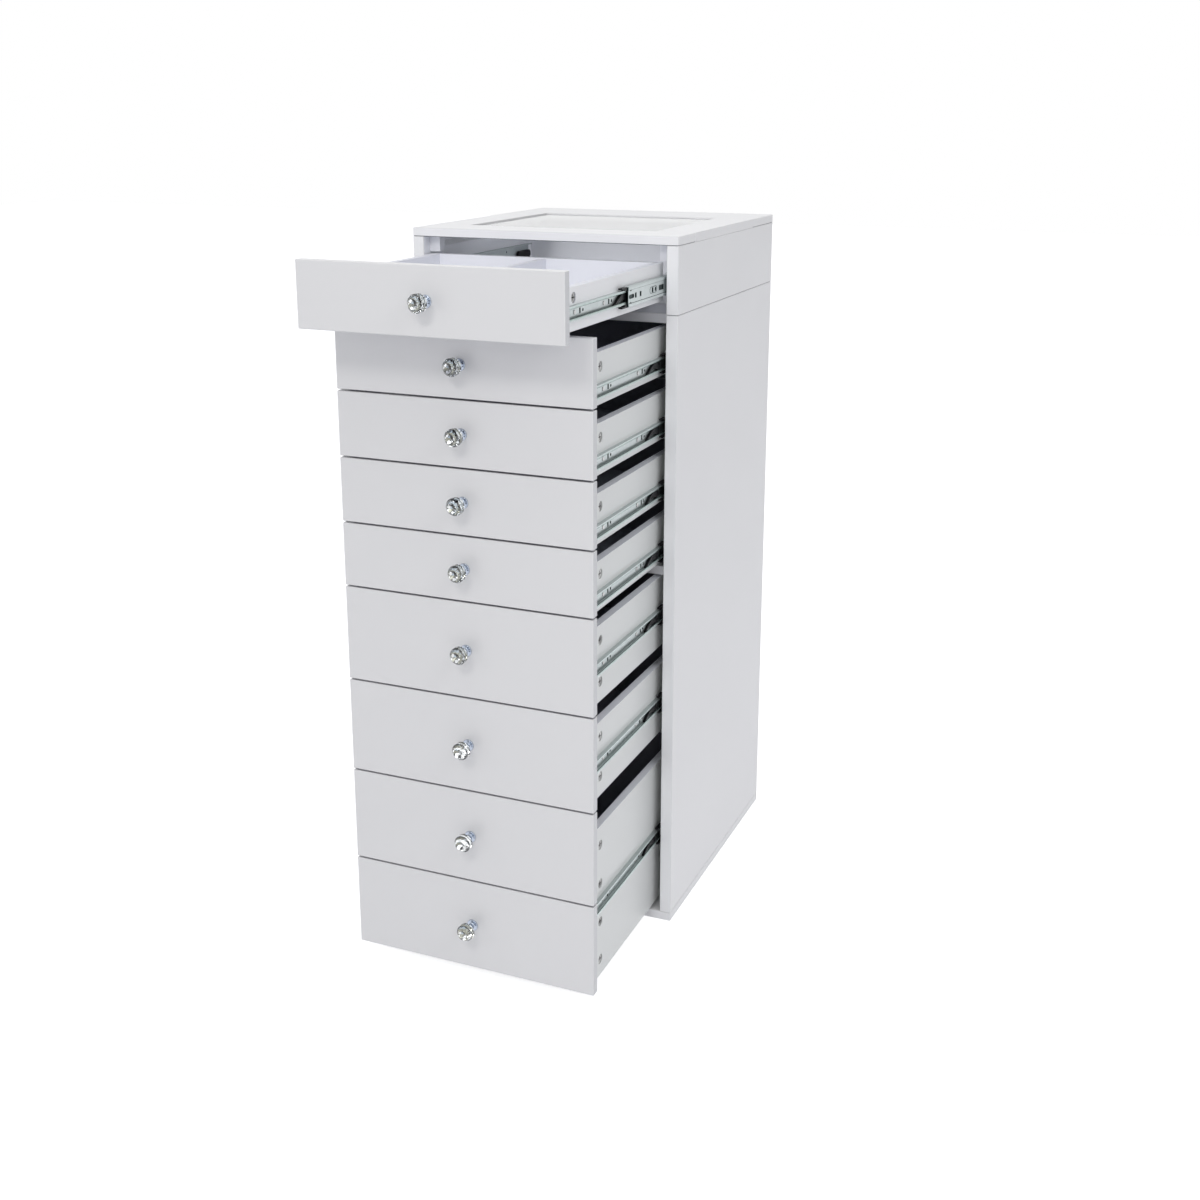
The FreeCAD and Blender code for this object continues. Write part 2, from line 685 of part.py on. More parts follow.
def build_drawer(number, kind, bottom):
    """Every node of one drawer whose lowest front starts at bottom."""
    wall_bottom = bottom + kind.wall_lift
    slide_z = wall_bottom + kind.slide_rise
    name = f"drawer_{number}"
    front_names = [f"{name}_front"]
    knob_names = [f"{name}_knob"]
    if len(kind.front_heights) > 1:
        front_names = [f"{name}_front_lower", f"{name}_front_upper"]
        knob_names = [f"{name}_knob_lower", f"{name}_knob_upper"]
    z = bottom
    for height, front_name, knob_name in zip(kind.front_heights, front_names, knob_names):
        parts[front_name] = [drawer_front(kind, z, height)]
        parts[knob_name] = knob(kind, z + height / 2)
        z += height + FRONT_GAP
    parts[f"{name}_box"] = drawer_box(kind, wall_bottom)
    parts[f"{name}_slides_and_cams"] = drawer_hardware(kind, wall_bottom)
    parts[f"middle_slides_{number}"] = both_sides(middle_section(kind, slide_z))
    parts.setdefault("case_slides", []).extend(both_sides(case_section(kind, slide_z)))


def drawer_layout():
    """(number, kind, bottom of its lowest front) for every drawer, from the bottom up."""
    layout = []
    bottom = stack_bottom
    number = len(LOWER_ORDER) + 1
    for kind in LOWER_ORDER:
        layout.append((number, kind, bottom))
        bottom += height_with_gap(kind)
        number -= 1
    layout.append((number, TOP, bottom))
    return layout


def build_divider():
    """The lengthwise divider that stands on the top drawer's floor."""
    y_low = front_back_y(TOP)
    y_high = y_low + box_length(TOP) - WALL_THICK
    bottom = top_front_bottom + TOP.wall_lift
    z_span = (bottom + FLOOR_RISE + FLOOR_THICK, bottom + TOP.wall_height - DIVIDER_DROP)
    head_gap = KNOB_HEAD_THICK + KNOB_BORE_CLEARANCE
    divider = board(centred(0, DIVIDER_THICK), (y_low, y_high), z_span)
    knob_z = top_front_bottom + TOP_FRONT_HEIGHT / 2
    notch_z = centred(knob_z, 2 * KNOB_HEAD_RADIUS + 2 * KNOB_BORE_CLEARANCE)
    notch = board(centred(0, DIVIDER_THICK + OVERRUN), (y_low - OVERRUN, y_low + head_gap), notch_z)
    parts["drawer_1_divider"] = [cut(divider, [notch])]


def build_lower_case():
    """Base, sides, rails and back of the tall drawer case."""
    full_x = (-half_width, half_width)
    full_y = (front_y, back_y)
    inner_x = (-inner_half, inner_half)
    side_x = (inner_half, half_width)
    side = board(side_x, full_y, (BASE_THICK, lower_top), BOARD_EASE)
    parts["base_panel"] = [board(full_x, full_y, (0, BASE_THICK), BOARD_EASE)]
    parts["lower_side_right"] = [side]
    parts["lower_side_left"] = [mirrored(side)]
    rail_y = (slide_front_y, slide_front_y + RAIL_DEPTH)
    rear_y = (back_panel_y - RAIL_DEPTH, back_panel_y)
    top_z = (lower_top - SHELF_THICK, lower_top)
    small_count = LOWER_ORDER.count(SMALL)
    seam = top_front_bottom - small_count * height_with_gap(SMALL) - FRONT_GAP
    middle_z = (seam - MIDDLE_RAIL_DROP - SHELF_THICK, seam - MIDDLE_RAIL_DROP)
    bolts = [rod_z(JOIN_BOLT_RADIUS + JOIN_CLEARANCE, x, y, top_z) for x, y in join_places()]
    rails = [
        cut(board(inner_x, rail_y, top_z, BOARD_EASE), bolts[:2]),
        cut(board(inner_x, rear_y, top_z, BOARD_EASE), bolts[2:]),
        board(inner_x, rail_y, middle_z, BOARD_EASE),
    ]
    parts["lower_rails"] = rails
    back_span = (back_panel_y, back_panel_y + BACK_THICK)
    parts["lower_back_panel"] = [board(inner_x, back_span, (BASE_THICK, lower_top))]


def join_places():
    """Where the bolts between the two cases stand: two in the front rail, two in the rear."""
    x = inner_half - JOIN_BOLT_INSET
    front = slide_front_y + RAIL_DEPTH / 2
    rear = back_panel_y - RAIL_DEPTH / 2
    return [(x, front), (-x, front), (x, rear), (-x, rear)]


def build_join_bolts():
    """Bolts up through the lower case's rails and the display case's floor, heads on the floor."""
    bolts = []
    for x, y in join_places():
        shank_z = (display_floor - JOIN_BOLT_LENGTH, display_floor)
        head_z = (display_floor, display_floor + JOIN_HEAD_THICK)
        shank = rod_z(JOIN_BOLT_RADIUS, x, y, shank_z)
        head = rod_z(JOIN_HEAD_RADIUS, x, y, head_z)
        bolts.append(shank.fuse(head).removeSplitter())
    parts["joining_bolts"] = bolts


def build_display_case():
    """Sides, floor and backs of the shallow case on top."""
    inner_x = (-inner_half, inner_half)
    side_x = (inner_half, half_width)
    side = board(side_x, (front_y, back_y), (lower_top, slab_bottom), BOARD_EASE)
    parts["upper_side_right"] = [side]
    parts["upper_side_left"] = [mirrored(side)]
    hole = JOIN_BOLT_RADIUS + JOIN_CLEARANCE
    floor_z = (lower_top, display_floor)
    floor = board(inner_x, (slide_front_y, back_panel_y), floor_z, BOARD_EASE)
    holes = [rod_z(hole, x, y, floor_z) for x, y in join_places()]
    parts["upper_floor"] = [cut(floor, holes)]
    back_span = (display_back_y, display_back_y + DISPLAY_BACK_THICK)
    parts["display_back_board"] = [board(inner_x, back_span, (display_floor, slab_bottom))]
    rear_span = (back_panel_y, back_panel_y + BACK_THICK)
    rear = board(inner_x, rear_span, (lower_top, slab_bottom))
    inlet_y = (rear_span[0] - OVERRUN, rear_span[1] + OVERRUN)
    inlet_hole = rod_y(INLET_RADIUS + INLET_CLEARANCE, 0, inlet_y, lower_top + INLET_RISE)
    parts["upper_rear_panel"] = [cut(rear, [inlet_hole])]


def build_top():
    """The top frame of two rails and two stiles, rebated for the glass pane."""
    z_span = (slab_bottom, case_top)
    opening_x = half_width - STILE_WIDTH
    opening_y = (front_y + FRONT_RAIL_WIDTH, back_y - BACK_RAIL_WIDTH)
    ledge_x = opening_x - GLASS_LEDGE
    ledge_y = (opening_y[0] + GLASS_LEDGE, opening_y[1] - GLASS_LEDGE)
    glass_bottom = case_top - GLASS_RECESS - GLASS_THICK
    full_x = (-half_width, half_width)
    rails = [
        board(full_x, (front_y, opening_y[0]), z_span, BOARD_EASE),
        board(full_x, (opening_y[1], back_y), z_span, BOARD_EASE),
    ]
    ledges = [
        board((-ledge_x, ledge_x), (front_y + GLASS_LEDGE, ledge_y[0]), (slab_bottom, glass_bottom)),
        board((-ledge_x, ledge_x), (ledge_y[1], back_y - GLASS_LEDGE), (slab_bottom, glass_bottom)),
    ]
    rebate = board((-opening_x, opening_x), opening_y, (glass_bottom, case_top + OVERRUN))
    stile = cut(board((ledge_x, half_width), opening_y, z_span), [rebate])
    lipped = [rail.fuse(ledge).removeSplitter() for rail, ledge in zip(rails, ledges)]
    parts["top_frame"] = [*lipped, *both_sides([stile])]
    pane_half = opening_x - GLASS_CLEARANCE
    pane_y = (opening_y[0] + GLASS_CLEARANCE, opening_y[1] - GLASS_CLEARANCE)
    pane_z = (glass_bottom, glass_bottom + GLASS_THICK)
    parts["glass_pane"] = [board((-pane_half, pane_half), pane_y, pane_z)]


def build_lights():
    """A rail under each side of the top frame, with a diffused light strip in its slot."""
    x_span = (inner_half - LIGHT_RAIL_WIDTH, inner_half)
    y_span = (front_y + LIGHT_RAIL_SETBACK, display_back_y)
    z_span = (slab_bottom - LIGHT_RAIL_HEIGHT, slab_bottom)
    slot_z = slab_bottom - LIGHT_SLOT_DROP - LIGHT_SLOT_HEIGHT / 2
    slot_y = (y_span[0] + LIGHT_SLOT_MARGIN, y_span[1] - LIGHT_SLOT_MARGIN)
    slot_x = (x_span[0] - OVERRUN, x_span[0] + LIGHT_SLOT_DEPTH)
    slot = oblong_x(slot_x, slot_y, slot_z, LIGHT_SLOT_HEIGHT)
    rail = cut(board(x_span, y_span, z_span), [slot])
    parts["light_rails"] = both_sides([rail])
    inset_y = (slot_y[0] + DIFFUSER_CLEARANCE, slot_y[1] - DIFFUSER_CLEARANCE)
    diffuser_x = (x_span[0], x_span[0] + DIFFUSER_THICK)
    diffuser_height = LIGHT_SLOT_HEIGHT - 2 * DIFFUSER_CLEARANCE
    diffuser = oblong_x(diffuser_x, inset_y, slot_z, diffuser_height)
    strip_y = (slot_y[0] + LIGHT_SLOT_HEIGHT / 2, slot_y[1] - LIGHT_SLOT_HEIGHT / 2)
    strip_x = (slot_x[1] - STRIP_THICK, slot_x[1])
    strip = board(strip_x, strip_y, centred(slot_z, STRIP_WIDTH))
    parts["light_strips"] = both_sides([diffuser, strip])


def build_supply():
    """The light driver on the floor behind the inner back board, and the rear power inlet."""
    bay_y = (display_back_y + DISPLAY_BACK_THICK + back_panel_y) / 2
    driver_z = (display_floor, display_floor + DRIVER_HEIGHT)
    driver = board(centred(0, DRIVER_LENGTH), centred(bay_y, DRIVER_DEPTH), driver_z)
    inlet_z = lower_top + INLET_RISE
    outside = back_panel_y + BACK_THICK
    barrel_y = (outside - INLET_LENGTH, outside)
    flange_y = (outside, outside + INLET_FLANGE_THICK)
    barrel = rod_y(INLET_RADIUS, 0, barrel_y, inlet_z)
    flange = rod_y(INLET_FLANGE_RADIUS, 0, flange_y, inlet_z)
    bore_y = (flange_y[1] - INLET_BORE_DEPTH, flange_y[1] + OVERRUN)
    bore = rod_y(INLET_BORE_RADIUS, 0, bore_y, inlet_z)
    pin = rod_y(INLET_PIN_RADIUS, 0, bore_y, inlet_z)
    inlet = cut(barrel.fuse(flange).removeSplitter(), [bore.cut(pin)])
    parts["light_supply"] = [driver.makeFillet(DRIVER_EASE, driver.Edges), inlet]


def write_parts():
    """One file for each node, named after it."""
    os.makedirs("parts", exist_ok=True)
    for name, solids in parts.items():
        for solid in solids:
            if not solid.isValid() or len(solid.Solids) != 1:
                raise ValueError(f"{name} holds a broken solid")
        Part.makeCompound(solids).exportStep(f"parts/{name}.step")
    print(len(parts), "parts, case", CASE_WIDTH, CASE_DEPTH, case_top)


build_lower_case()
build_display_case()
build_join_bolts()
build_top()
build_lights()
build_supply()
for number, kind, bottom in drawer_layout():
    build_drawer(number, kind, bottom)
build_divider()
write_parts()
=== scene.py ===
import math
import random

import bmesh
import bpy
import numpy as np
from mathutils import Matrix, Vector


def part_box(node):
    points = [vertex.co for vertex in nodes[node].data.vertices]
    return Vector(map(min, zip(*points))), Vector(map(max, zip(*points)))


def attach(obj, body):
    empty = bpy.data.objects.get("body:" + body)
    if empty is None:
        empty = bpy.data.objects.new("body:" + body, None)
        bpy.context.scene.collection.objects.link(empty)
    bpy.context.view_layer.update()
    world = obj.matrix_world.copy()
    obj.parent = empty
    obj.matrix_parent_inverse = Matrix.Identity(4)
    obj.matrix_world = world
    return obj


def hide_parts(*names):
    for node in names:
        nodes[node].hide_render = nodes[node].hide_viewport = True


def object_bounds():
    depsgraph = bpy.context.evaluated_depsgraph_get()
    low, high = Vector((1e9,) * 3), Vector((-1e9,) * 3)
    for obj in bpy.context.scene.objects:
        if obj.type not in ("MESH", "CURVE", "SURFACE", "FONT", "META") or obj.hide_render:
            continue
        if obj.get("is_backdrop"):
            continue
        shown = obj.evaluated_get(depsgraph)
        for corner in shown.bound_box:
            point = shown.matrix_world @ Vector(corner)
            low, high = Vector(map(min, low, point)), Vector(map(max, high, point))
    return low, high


# The lighted drawer display unit: its materials, crystal knobs, charcoal linings, slide relief,
# floor, light and camera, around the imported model. Metres, +Z up, the fronts face -Y.

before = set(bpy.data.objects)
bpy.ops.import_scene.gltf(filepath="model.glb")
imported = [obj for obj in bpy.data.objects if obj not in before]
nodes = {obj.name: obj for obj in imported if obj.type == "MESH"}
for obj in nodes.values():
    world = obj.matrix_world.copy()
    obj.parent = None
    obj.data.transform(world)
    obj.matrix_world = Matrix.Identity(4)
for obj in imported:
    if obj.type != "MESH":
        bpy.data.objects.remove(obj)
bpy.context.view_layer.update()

# The drawers, from the top down, and the knobs that each carries
DRAWERS = range(1, 9)
LINED_DRAWERS = range(2, 9)
KNOBS = {k: [f"drawer_{k}_knob"] for k in range(1, 8)}
KNOBS[8] = ["drawer_8_knob_upper", "drawer_8_knob_lower"]

# Camera
CAMERA_PLACE = (0.984, -2.356, 1.323)
CAMERA_YAW = -22.76
CAMERA_PITCH = 14.37
CAMERA_LENS = 44.97
CAMERA_SHIFT = (0.0, -0.095)

# Light: the world's strength, and each lamp's name, place, target, size, power and colour
WORLD_LIGHT = 0.54
LAMPS = (
    ("key", (0.2, -3.4, 3.2), (0, -0.5, 0.8), (1.2, 0.6), 23.5, (1.0, 0.98, 0.94)),
    ("overhead", (0.2, -0.9, 3.6), (0, -0.3, 0.8), (1.4, 1.4), 14.5, (1.0, 1.0, 1.0)),
    ("side", (2.3, -1.5, 2.7), (0.2, -0.3, 0.8), (1.6, 1.6), 15.0, (0.98, 0.985, 1.0)),
    ("fill_right", (1.7, -2.9, 1.4), (0.1, -0.3, 0.8), (1.8, 1.8), 5.0, (0.98, 0.985, 1.0)),
    ("fill_left", (-2.0, -2.9, 1.3), (0, -0.4, 0.8), (1.8, 1.8), 4.5, (0.98, 0.985, 1.0)),
)
FLOOR_SIZE = 14.0
FLOOR_DROP = 0.0005
FLOOR_GLOW = 0.76

# Linings, which start behind the heads of the knobs' screws
WALL_THICK = 0.012
FLOOR_TOP = 0.013
LINING_THICK = 0.0010
LINING_CORNER = 0.0040
LINING_GAP = 0.0001
LINING_DROP = 0.0008
LINING_START = 0.0026

# The joint over the lower case and the joint under the top frame
CASE_JOINT = 1.012
FRAME_JOINT = 1.116
SEAM_REACH = 0.0015

# The solids of one node are told apart by their length: drawer sections, case and middle
# sections, levers and bumpers are longer than these, and stops and screws are shorter. Diffusers
# are higher than the strips behind them.
DRAWER_SECTION_LEAST = 0.30
SECTION_LEAST = 0.20
LEVER_LEAST = 0.03
BUMPER_LEAST = 0.02
STOP_MOST = 0.025
SCREW_MOST = 0.012
DIFFUSER_LEAST = 0.006

# A cam lock's end faces lie within this of its ends
CAM_FACE = 0.0005

# The end stops reach this far in front of the middle sections
STOP_REACH = 0.0195

# The walls of a section's holes lie further than the margin from its ends, and within these
# heights of its middle
HOLE_MARGIN = 0.001
DRAWER_HOLES, MIDDLE_HOLES, CASE_HOLES = 0.005, 0.0112, 0.0135

# Relief on the slides, by distance from the unit's middle and height over the slide's middle:
# raceways, pins and ovals on the middle sections' backs, curled lips on the drawer sections, and
# strips of painted shade behind the holes of both
MIDDLE_BACK = 0.2030
MIDDLE_HALF = 0.0145
RACEWAY_RISE = 0.0008
RACEWAY = (
    (MIDDLE_BACK, 0.0091), (MIDDLE_BACK + RACEWAY_RISE * 0.8, 0.0097),
    (MIDDLE_BACK + RACEWAY_RISE, 0.0106), (MIDDLE_BACK + RACEWAY_RISE, 0.0128),
    (MIDDLE_BACK + RACEWAY_RISE * 0.6, 0.0139), (MIDDLE_BACK, MIDDLE_HALF - 0.0001),
)
LIP_EDGE = 0.2000
LIP_HALF = 0.0088
LIP = (
    (LIP_EDGE, LIP_HALF), (LIP_EDGE, 0.0079), (LIP_EDGE - 0.0004, 0.0068),
    (LIP_EDGE - 0.0010, 0.0062), (LIP_EDGE - 0.0012, 0.0066), (LIP_EDGE - 0.0007, 0.0074),
    (LIP_EDGE - 0.0006, LIP_HALF),
)
RELIEF_MARGIN = 0.0005
PIN_OFFSET, PIN_HEIGHT, PIN_RADIUS, PIN_RISE = 0.0090, 0.0090, 0.0015, 0.0011
OVAL_OFFSET, OVAL_LENGTH, OVAL_HEIGHT = 0.0992, 0.0290, 0.0100
OVAL_WIDTH, OVAL_RISE = 0.0009, 0.0003
MIDDLE_SHADE, DRAWER_SHADE = (0.20155, 0.20175), (0.19332, 0.19342)
SHADE_HALF = 0.0085
SHADE_MARGIN = 0.001

# Knobs, by depth in front of the drawer front
CRYSTAL_SIDES = 12
SEAT_RADIUS, SEAT_DEPTH, SEAT_TIP = 0.0064, 0.0120, 0.0150
GIRDLE_RADIUS, GIRDLE_DEPTH, GIRDLE_BAND = 0.0131, 0.0192, 0.0076
TABLE_RADIUS, TABLE_DEPTH = 0.0074, 0.0340
BACK_SHARE, CROWN_SHARE = 0.58, 0.46
BASE_STEPS, SCREW_STEPS = 40, 24
KNOB_TURN = 0.35

# Edges that bend by more than this many degrees are sharp
TURNED_SHARP, LINING_SHARP, RELIEF_SHARP = 40, 50, 35

rng = random.Random(7)


# Materials

def new_material(name, colour, roughness, metallic=0.0):
    """A material with a Principled shader and its object coordinates."""
    material = bpy.data.materials.new(name)
    material.use_nodes = True
    tree = material.node_tree
    shader = tree.nodes["Principled BSDF"]
    shader.inputs["Base Color"].default_value = (*colour, 1.0)
    shader.inputs["Roughness"].default_value = roughness
    shader.inputs["Metallic"].default_value = metallic
    coords = tree.nodes.new("ShaderNodeTexCoord")
    return material, tree, shader, coords.outputs["Object"]


def stretched(tree, vector, scale):
    """The vector with each of its axes scaled."""
    mapping = tree.nodes.new("ShaderNodeMapping")
    mapping.inputs["Scale"].default_value = scale
    tree.links.new(vector, mapping.inputs["Vector"])
    return mapping.outputs["Vector"]


def noise(tree, vector, scale, detail=2.0, rough=0.5):
    """A noise texture's value."""
    node = tree.nodes.new("ShaderNodeTexNoise")
    node.inputs["Scale"].default_value = scale
    node.inputs["Detail"].default_value = detail
    node.inputs["Roughness"].default_value = rough
    tree.links.new(vector, node.inputs["Vector"])
    return node.outputs["Fac"]


def bands(tree, vector, scale):
    """The value of a wave texture whose bands follow each other along Y."""
    wave = tree.nodes.new("ShaderNodeTexWave")
    wave.bands_direction = "Y"
    wave.inputs["Scale"].default_value = scale
    tree.links.new(vector, wave.inputs["Vector"])
    return wave.outputs["Fac"]


def span(tree, value, low, high, from_low=0.3, from_high=0.7):
    """The value carried from one range into another."""
    node = tree.nodes.new("ShaderNodeMapRange")
    node.inputs["From Min"].default_value = from_low
    node.inputs["From Max"].default_value = from_high
    node.inputs["To Min"].default_value = low
    node.inputs["To Max"].default_value = high
    tree.links.new(value, node.inputs["Value"])
    return node.outputs["Result"]


def ramp(tree, value, stops):
    """A colour for each value between the stops."""
    node = tree.nodes.new("ShaderNodeValToRGB")
    elements = node.color_ramp.elements
    while len(elements) < len(stops):
        elements.new(0.5)
    for element, (place, colour) in zip(elements, stops):
        element.position = place
        element.color = (*colour, 1.0)
    tree.links.new(value, node.inputs["Fac"])
    return node.outputs["Color"]


def bump(tree, shader, height, strength, distance):
    """Relief from a height value."""
    node = tree.nodes.new("ShaderNodeBump")
    node.inputs["Strength"].default_value = strength
    node.inputs["Distance"].default_value = distance
    tree.links.new(height, node.inputs["Height"])
    tree.links.new(node.outputs["Normal"], shader.inputs["Normal"])


def direct_rays(tree):
    """1 for rays from the camera, off gloss and through glass, and 0 for the light on surfaces."""
    paths = tree.nodes.new("ShaderNodeLightPath")
    value = paths.outputs["Is Camera Ray"]
    for kind in ("Is Glossy Ray", "Is Transmission Ray"):
        larger = tree.nodes.new("ShaderNodeMath")
        larger.operation = "MAXIMUM"
        tree.links.new(value, larger.inputs[0])
        tree.links.new(paths.outputs[kind], larger.inputs[1])
        value = larger.outputs[0]
    return value


def white_board(name, low, high, gloss=(0.29, 0.33)):
    """Satin white laminate: faint orange peel, faint cloudiness, uneven gloss."""
    material, tree, shader, place = new_material(name, high, 0.3)
    cloud = noise(tree, place, 2.6, 3.0)
    tree.links.new(ramp(tree, cloud, [(0.3, low), (0.7, high)]), shader.inputs["Base Color"])
    tree.links.new(span(tree, noise(tree, place, 11.0, 4.0), *gloss), shader.inputs["Roughness"])
    bump(tree, shader, noise(tree, place, 620.0, 1.0), 0.03, 0.0001)
    return material


def metal(name, dark, light, gloss, grain=(420.0, 7.0, 420.0)):
    """Plated steel drawn along its length, with spangle in its colour."""
    material, tree, shader, place = new_material(name, light, 0.35, 1.0)
    lines = noise(tree, stretched(tree, place, grain), 1.0, 3.0)
    spangle = noise(tree, place, 110.0, 3.0)
    tree.links.new(ramp(tree, spangle, [(0.3, dark), (0.7, light)]), shader.inputs["Base Color"])
    tree.links.new(span(tree, lines, *gloss), shader.inputs["Roughness"])
    bump(tree, shader, lines, 0.02, 0.0001)
    return material


def moulded(name, dark, light, gloss, grain=900.0, specular=0.5):
    """Moulded plastic with a fine grain."""
    material, tree, shader, place = new_material(name, dark, 0.3)
    shader.inputs["Specular IOR Level"].default_value = specular
    blotch = noise(tree, place, 90.0, 3.0)
    tree.links.new(ramp(tree, blotch, [(0.3, dark), (0.7, light)]), shader.inputs["Base Color"])
    tree.links.new(span(tree, blotch, *gloss), shader.inputs["Roughness"])
    bump(tree, shader, noise(tree, place, grain, 2.0), 0.10, 0.0002)
    return material


def lining_cloth():
    """Charcoal flocked lining with short fibres."""
    material, tree, shader, place = new_material("charcoal_flock", (0.160, 0.165, 0.205), 0.85)
    pile = noise(tree, place, 1400.0, 2.0, 0.7)
    nap = noise(tree, stretched(tree, place, (9.0, 22.0, 9.0)), 1.0, 4.0)
    tones = [(0.3, (0.148, 0.153, 0.191)), (0.7, (0.172, 0.177, 0.219))]
    tree.links.new(ramp(tree, nap, tones), shader.inputs["Base Color"])
    tree.links.new(span(tree, pile, 0.72, 0.95), shader.inputs["Roughness"])
    shader.inputs["Sheen Weight"].default_value = 0.75
    shader.inputs["Sheen Roughness"].default_value = 0.45
    shader.inputs["Sheen Tint"].default_value = (0.78, 0.84, 1.0, 1.0)
    bump(tree, shader, pile, 0.20, 0.0002)
    return material


def pane_glass():
    """Pale grey float glass with a little haze."""
    material, tree, shader, place = new_material("float_glass", (0.76, 0.775, 0.79), 0.02)
    shader.inputs["Specular IOR Level"].default_value = 0.2
    shader.inputs["Transmission Weight"].default_value = 1.0
    shader.inputs["IOR"].default_value = 1.5
    smear = noise(tree, stretched(tree, place, (6.0, 2.5, 6.0)), 1.0, 4.0)
    tree.links.new(span(tree, smear, 0.0, 0.035), shader.inputs["Roughness"])
    return material


def crystal_glass():
    """Polished crystal, barely uneven."""
    material, tree, shader, place = new_material("crystal", (0.86, 0.87, 0.865), 0.0)
    shader.inputs["Transmission Weight"].default_value = 1.0
    shader.inputs["IOR"].default_value = 1.55
    bump(tree, shader, noise(tree, place, 240.0, 1.0), 0.04, 0.0002)
    return material


def painted_reflection(name, dark, light):
    """Painted reflection: a tinted mirror on some of the crystal's back facets."""
    material, tree, shader, place = new_material(name, light, 0.04, 1.0)
    patch = noise(tree, place, 130.0, 2.0)
    tree.links.new(ramp(tree, patch, [(0.36, dark), (0.64, light)]), shader.inputs["Base Color"])
    return material


def chrome():
    """Polished chrome with the faintest wiping marks."""
    material, tree, shader, place = new_material("chrome", (0.36, 0.40, 0.47), 0.06, 1.0)
    rub = noise(tree, stretched(tree, place, (300.0, 60.0, 300.0)), 1.0, 2.0)
    tree.links.new(span(tree, rub, 0.04, 0.10), shader.inputs["Roughness"])
    return material


def strip_board():
    """A white light strip with a row of small yellow emitters."""
    material, tree, shader, place = new_material("strip_board", (0.80, 0.80, 0.78), 0.5)
    tones = [(0.86, (0.80, 0.80, 0.78)), (0.90, (0.85, 0.62, 0.12))]
    tree.links.new(ramp(tree, bands(tree, place, 19.0), tones), shader.inputs["Base Color"])
    return material


def ball_row():
    """A cage of bright steel balls, one every few millimetres."""
    material, tree, shader, place = new_material("ball_row", (0.6, 0.6, 0.6), 0.2, 1.0)
    balls = bands(tree, place, 60.0)
    tones = [(0.35, (0.10, 0.10, 0.10)), (0.6, (0.78, 0.79, 0.80))]
    tree.links.new(ramp(tree, balls, tones), shader.inputs["Base Color"])
    bump(tree, shader, balls, 0.6, 0.0008)
    return material


BOARD = white_board("white_laminate", (0.775, 0.774, 0.780), (0.783, 0.782, 0.787))
# Painted light: a brighter copy of the laminate for the faces that look to the front
FRONT_LIGHT = white_board("front_face_painted_light", (0.915, 0.916, 0.930), (0.925, 0.926, 0.940))
# Painted light: a brighter copy of the laminate for the top frame's upper faces and the top
# drawer's outer sides
LIT_LAMINATE = white_board("painted_light_laminate", (0.850, 0.851, 0.862), (0.860, 0.861, 0.872))
# Painted shade: a darker, greenish copy of the laminate for the lower drawers' boxes
SHADED_WALL = white_board("drawer_laminate", (0.705, 0.719, 0.708), (0.713, 0.727, 0.716))
# Painted shade: a darker copy of the laminate for the fronts' side faces
SHADED_FRONT_SIDES = white_board("front_side_painted_shade", (0.612, 0.618, 0.630), (0.622, 0.628, 0.640))
# Painted light: a brighter bluish copy of the laminate for the top faces of the lower drawers'
# walls, which lie under the drawers above
LIT_WALL_TOP = white_board("wall_top_painted_light", (0.900, 0.910, 0.970), (0.910, 0.920, 0.980))
# Painted shade: near-black for the fronts' undersides, to darken the gaps between the fronts
SHADED_UNDERSIDE = white_board("front_underside_painted_shade", (0.110, 0.105, 0.150), (0.140, 0.135, 0.180))
# Painted shade: a bluish copy of the laminate for the display's back board
SHADED_DISPLAY_BACK = white_board("display_back_painted_shade", (0.780, 0.790, 0.835), (0.790, 0.800, 0.845))
# Painted shade: a darker bluish copy of the laminate for the display's floor
SHADED_DISPLAY_FLOOR = white_board(
    "display_floor_painted_shade", (0.610, 0.620, 0.660), (0.620, 0.630, 0.670))
# Painted light: a brighter bluish copy of the laminate for the light rails, the upper sides' inner
# faces and the top drawer's front-facing faces
LIT_INSIDE = white_board("inside_painted_light", (0.890, 0.900, 0.945), (0.900, 0.910, 0.955))
# Painted shade: a darker bluish copy of the laminate for the panels and the top drawer's box
# inside the unit
SHADED_INSIDE = white_board("inside_painted_shade", (0.735, 0.745, 0.800), (0.745, 0.755, 0.810))
# Painted shade: near-black for the eased edges that look down onto the case's joints
JOINT_SHADE = white_board("joint_painted_shade", (0.10, 0.11, 0.13), (0.14, 0.15, 0.17))
ZINC = metal("zinc_plate", (0.495, 0.540, 0.540), (0.535, 0.580, 0.580), (0.40, 0.46))
# Painted shade: a darker teal copy of the zinc for the drawer sections' curled lips
SHADED_LIP_ZINC = metal("zinc_lip_painted_shade", (0.34, 0.42, 0.40), (0.44, 0.52, 0.50), (0.30, 0.42))
# Painted shade: near-black for the raceways' steep walls, the lips' curls, the slides' hole walls,
# the oval lines and the strips behind the holes
SLIDE_SHADE = metal("slide_painted_shade", (0.02, 0.035, 0.035), (0.05, 0.07, 0.07), (0.40, 0.50))
NICKEL = metal(
    "nickel_screw", (0.36, 0.36, 0.36), (0.58, 0.58, 0.57), (0.22, 0.36), (90.0, 90.0, 90.0))
CAM_METAL = metal(
    "cam_metal", (0.10, 0.10, 0.10), (0.60, 0.60, 0.59), (0.28, 0.42), (60.0, 60.0, 60.0))
BLACK = moulded(
    "black_moulding", (0.004, 0.004, 0.005), (0.008, 0.008, 0.010), (0.32, 0.44), 900.0, 0.15)
DRIVER = moulded("driver_case", (0.018, 0.018, 0.020), (0.030, 0.030, 0.033), (0.45, 0.60), 500.0)
DIFFUSER = moulded(
    "frosted_diffuser", (0.76, 0.77, 0.79), (0.80, 0.81, 0.83), (0.40, 0.55), 700.0)
FLOCK = lining_cloth()
PANE = pane_glass()
CRYSTAL = crystal_glass()
CHROME = chrome()
STRIP = strip_board()
